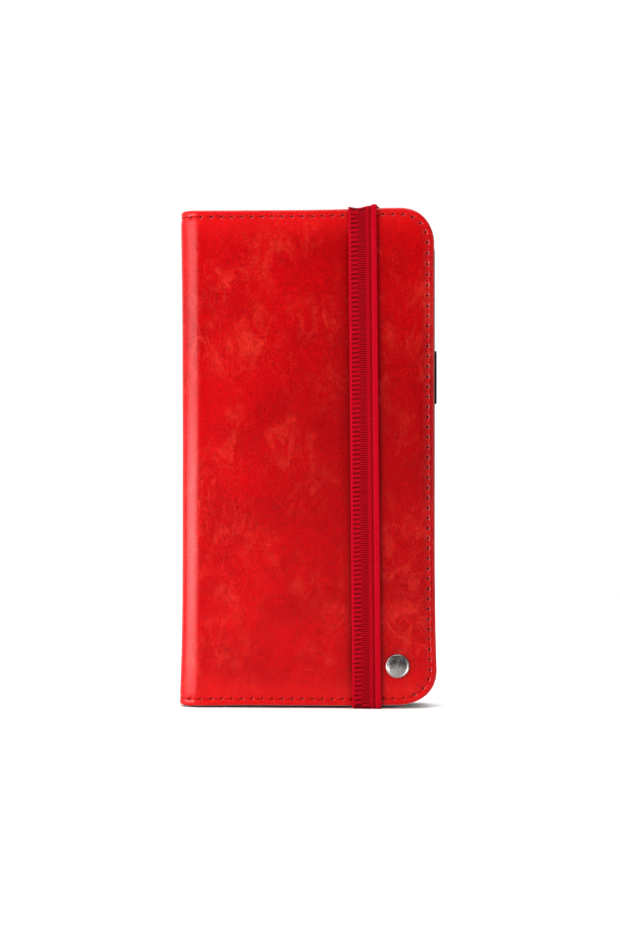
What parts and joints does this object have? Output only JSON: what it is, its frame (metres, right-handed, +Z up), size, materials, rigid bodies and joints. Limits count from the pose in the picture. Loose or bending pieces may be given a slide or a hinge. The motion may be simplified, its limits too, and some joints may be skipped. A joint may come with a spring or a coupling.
{
  "type": "phone wallet case",
  "caption": "Book-style leather wallet case for a large phone, closed upright, with card and cash pockets, a phone tray and an elastic strap.",
  "frame": {"origin": "on the surface the case stands on, under the middle of its whole box", "axes": "+X from the spine to the free edge, +Y from the front cover to the rear cover, +Z up"},
  "size_m": [0.0854, 0.0192, 0.1674],
  "materials": {
    "red_leather": "semi-gloss waxed pull-up leather, cloudy red",
    "pocket_leather": "satin red leather",
    "lining": "matt charcoal microfibre",
    "board": "plain grey stiffening board",
    "thread": "waxed red thread",
    "elastic": "ribbed woven crimson elastic",
    "tray_black": "soft-touch black polycarbonate",
    "button_black": "matt black elastomer",
    "adhesive": "foam tape",
    "gunmetal": "satin gunmetal nickel"
  },
  "bodies": {
    "rear_cover": {"rear_leather": "red_leather", "rear_board": "board", "rear_lining": "lining", "rear_seam_thread": "thread", "adhesive_pad": "adhesive", "tray_shell": "tray_black", "strap_top_end": "elastic", "strap_bottom_end": "elastic"},
    "spine": {"spine_leather": "red_leather", "spine_board": "board", "spine_lining": "lining"},
    "front_cover": {"front_leather": "red_leather", "front_board": "board", "front_lining": "lining", "front_seam_thread": "thread", "cash_pocket": "pocket_leather", "card_pocket_1": "pocket_leather", "card_pocket_2": "pocket_leather", "card_pocket_3": "pocket_leather", "pocket_thread": "thread", "rivet_cap": "gunmetal", "rivet_back": "gunmetal"},
    "strap": {"strap_front": "elastic"},
    "power_button": {"power_button": "button_black"},
    "volume_up_button": {"volume_up_button": "button_black"},
    "volume_down_button": {"volume_down_button": "button_black"}
  },
  "joints": [
    {"name": "spine_fold", "type": "hinge", "parent": "rear_cover", "child": "spine", "pos_m": [-0.0413, 0.0082, 0.0837], "axis": [0, 0, -1], "range_deg": [0, 90]},
    {"name": "cover_fold", "type": "hinge", "parent": "spine", "child": "front_cover", "pos_m": [-0.0413, -0.007, 0.0837], "axis": [0, 0, -1], "range_deg": [0, 90]},
    {"name": "strap_swing", "type": "hinge", "parent": "rear_cover", "child": "strap", "pos_m": [0.0185, 0.0006, 0.0837], "axis": [0, 0, 1], "range_deg": [0, 180], "deforming": ["strap_front"]},
    {"name": "power_press", "type": "slide", "parent": "rear_cover", "child": "power_button", "axis": [-1, 0, 0], "range_m": [0, 0.0004], "stiffness_N_per_m": 2000},
    {"name": "volume_up_press", "type": "slide", "parent": "rear_cover", "child": "volume_up_button", "axis": [1, 0, 0], "range_m": [0, 0.0004], "stiffness_N_per_m": 2000},
    {"name": "volume_down_press", "type": "slide", "parent": "rear_cover", "child": "volume_down_button", "axis": [1, 0, 0], "range_m": [0, 0.0004], "stiffness_N_per_m": 2000}
  ],
  "couplings": [
    {"joint": "cover_fold", "follows": "spine_fold", "ratio": 1},
    {"joint": "strap_swing", "follows": "spine_fold", "ratio": 2}
  ]
}
